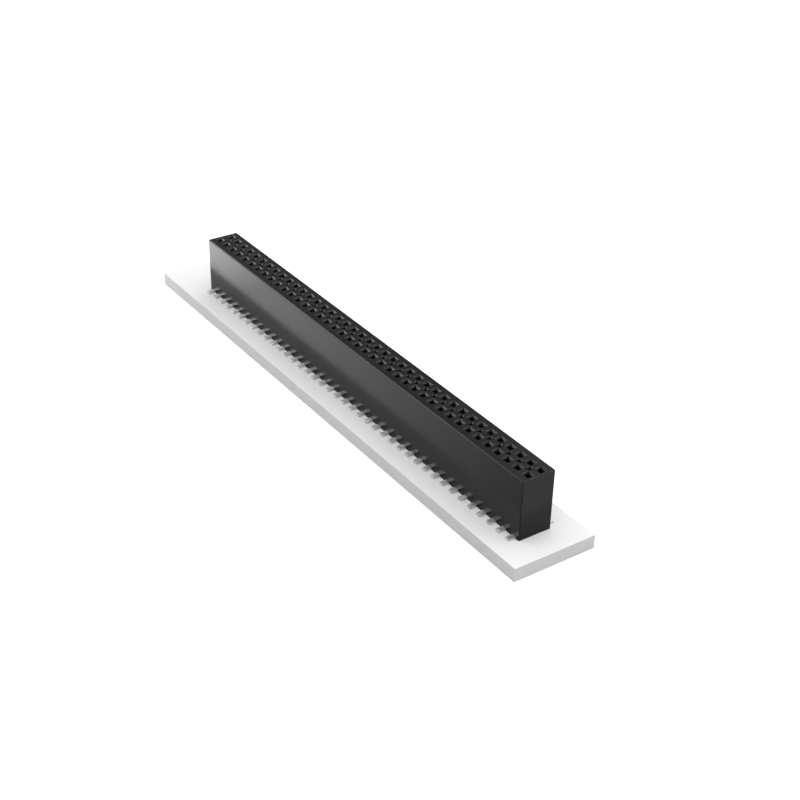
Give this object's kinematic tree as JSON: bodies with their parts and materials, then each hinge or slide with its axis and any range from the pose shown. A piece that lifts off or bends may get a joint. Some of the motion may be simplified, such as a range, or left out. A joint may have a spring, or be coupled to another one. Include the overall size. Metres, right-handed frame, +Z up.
{
  "type": "surface-mount socket strip",
  "caption": "Straight two-row socket strip in black plastic, with square lead-in sockets over sprung contacts and tinned leads flat along both sides, standing on a plain white oblong board.",
  "frame": {"origin": "centre of the board's underside", "axes": "+X along the strip towards the end with the shorter board margin, +Y across it towards the back row, +Z up out of the board towards the sockets"},
  "size_m": [0.0592, 0.008, 0.0069],
  "materials": {
    "housing": "smooth glossy black moulded plastic",
    "contacts": "tin-plated copper alloy strip, satin grey",
    "board": "plain white laminate board"
  },
  "bodies": {
    "root": {"circuit_board": "board", "housing": "housing", "contact_pair_01": "contacts", "contact_pair_02": "contacts", "contact_pair_03": "contacts", "contact_pair_04": "contacts", "contact_pair_05": "contacts", "contact_pair_06": "contacts", "contact_pair_07": "contacts", "contact_pair_08": "contacts", "contact_pair_09": "contacts", "contact_pair_10": "contacts", "contact_pair_11": "contacts", "contact_pair_12": "contacts", "contact_pair_13": "contacts", "contact_pair_14": "contacts", "contact_pair_15": "contacts", "contact_pair_16": "contacts", "contact_pair_17": "contacts", "contact_pair_18": "contacts", "contact_pair_19": "contacts", "contact_pair_20": "contacts", "contact_pair_21": "contacts", "contact_pair_22": "contacts", "contact_pair_23": "contacts", "contact_pair_24": "contacts", "contact_pair_25": "contacts", "contact_pair_26": "contacts", "contact_pair_27": "contacts", "contact_pair_28": "contacts", "contact_pair_29": "contacts", "contact_pair_30": "contacts", "contact_pair_31": "contacts", "contact_pair_32": "contacts", "contact_pair_33": "contacts", "contact_pair_34": "contacts", "contact_pair_35": "contacts", "contact_pair_36": "contacts", "contact_pair_37": "contacts", "contact_pair_38": "contacts", "contact_pair_39": "contacts", "contact_pair_40": "contacts"}
  },
  "joints": []
}
